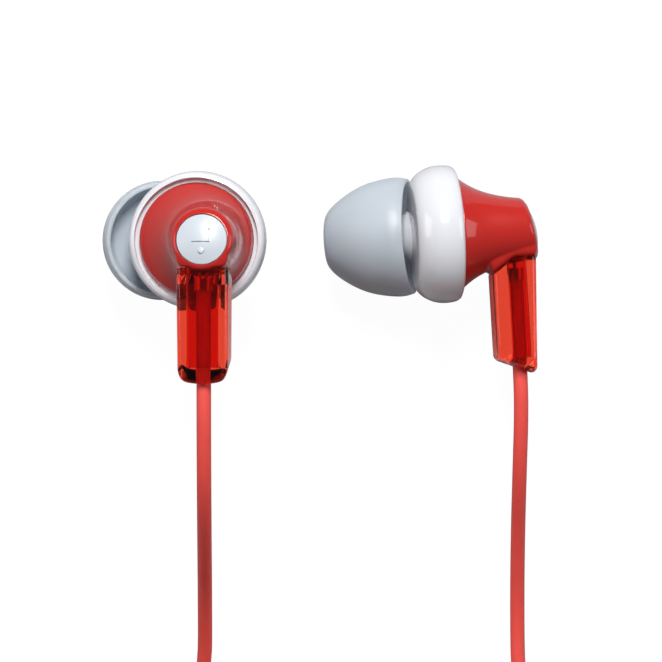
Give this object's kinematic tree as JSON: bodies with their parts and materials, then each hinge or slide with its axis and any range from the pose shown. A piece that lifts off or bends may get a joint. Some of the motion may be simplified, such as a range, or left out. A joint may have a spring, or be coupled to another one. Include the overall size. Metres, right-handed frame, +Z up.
{
  "type": "wired earphones",
  "caption": "In-ear wired earphones: soft tips, white rings, red housings with clear stems, coiled cord, splitter and stereo plug.",
  "frame": {"origin": "on the table surface, under the middle of the two earphones without their cords", "axes": "+Z up from the table, -Y along the cords as they leave the earphones, +X from the left earphone to the right one"},
  "size_m": [0.0453, 0.1332, 0.0222],
  "materials": {
    "silicone": "satin, slightly translucent silicone",
    "white_plastic": "high gloss",
    "steel_mesh": "fine woven mesh",
    "foam": "open-cell foam",
    "steel": "plated",
    "black_plastic": "matte moulded",
    "film": "thin polymer film",
    "copper": "enamelled wire",
    "magnet": "nickel plated",
    "paper": "porous damping paper",
    "board": "solder-masked board",
    "red_plastic": "high gloss, opaque",
    "cap_plastic": "semi gloss",
    "clear_red": "clear moulded plastic",
    "brass_crimp": "plain",
    "cord_red": "matte elastomer",
    "moulded_red": "satin moulded elastomer",
    "nickel": "polished plating",
    "insulator": "moulded ring"
  },
  "bodies": {
    "root": {"left_cap": "cap_plastic", "left_cord": "cord_red", "left_cord_coil": "cord_red", "left_cord_crimp": "brass_crimp", "left_cord_end": "cord_red", "left_cord_tail": "cord_red", "left_driver_basket": "black_plastic", "left_driver_cover": "steel", "left_driver_gasket": "foam", "left_driver_yoke": "steel", "left_front_housing": "white_plastic", "left_lead_wires": "copper", "left_magnet": "magnet", "left_nozzle_foam": "foam", "left_nozzle_mesh": "steel_mesh", "left_rear_housing": "red_plastic", "left_stem": "clear_red", "left_terminal_board": "board", "left_top_plate": "steel", "left_vent_damper": "paper", "main_cord": "cord_red", "main_cord_coil": "cord_red", "main_cord_tail": "cord_red", "plug_core": "brass_crimp", "plug_handle": "moulded_red", "plug_insulators": "insulator", "plug_ring": "nickel", "plug_sleeve": "nickel", "plug_strain_relief": "moulded_red", "plug_tip": "nickel", "right_cap": "cap_plastic", "right_cord": "cord_red", "right_cord_coil": "cord_red", "right_cord_crimp": "brass_crimp", "right_cord_end": "cord_red", "right_cord_tail": "cord_red", "right_driver_basket": "black_plastic", "right_driver_cover": "steel", "right_driver_gasket": "foam", "right_driver_yoke": "steel", "right_front_housing": "white_plastic", "right_lead_wires": "copper", "right_magnet": "magnet", "right_nozzle_foam": "foam", "right_nozzle_mesh": "steel_mesh", "right_rear_housing": "red_plastic", "right_stem": "clear_red", "right_terminal_board": "board", "right_top_plate": "steel", "right_vent_damper": "paper", "splitter": "moulded_red"},
    "left_ear_tip": {"left_ear_tip": "silicone"},
    "right_ear_tip": {"right_ear_tip": "silicone"},
    "left_diaphragm": {"left_diaphragm": "film", "left_voice_coil": "copper"},
    "right_diaphragm": {"right_diaphragm": "film", "right_voice_coil": "copper"}
  },
  "joints": [
    {"name": "left_tip_pull", "type": "slide", "parent": "root", "child": "left_ear_tip", "axis": [-0.1616, 0, -0.9869], "range_m": [0, 0.007]},
    {"name": "left_diaphragm_travel", "type": "slide", "parent": "root", "child": "left_diaphragm", "axis": [-0.108, 0, 0.9942], "range_m": [-0.00025, 0.00025], "stiffness_N_per_m": 30},
    {"name": "right_tip_pull", "type": "slide", "parent": "root", "child": "right_ear_tip", "axis": [-0.9852, -0.0568, -0.1616], "range_m": [0, 0.007]},
    {"name": "right_diaphragm_travel", "type": "slide", "parent": "root", "child": "right_diaphragm", "axis": [0.9925, 0.0572, -0.108], "range_m": [-0.00025, 0.00025], "stiffness_N_per_m": 30}
  ]
}
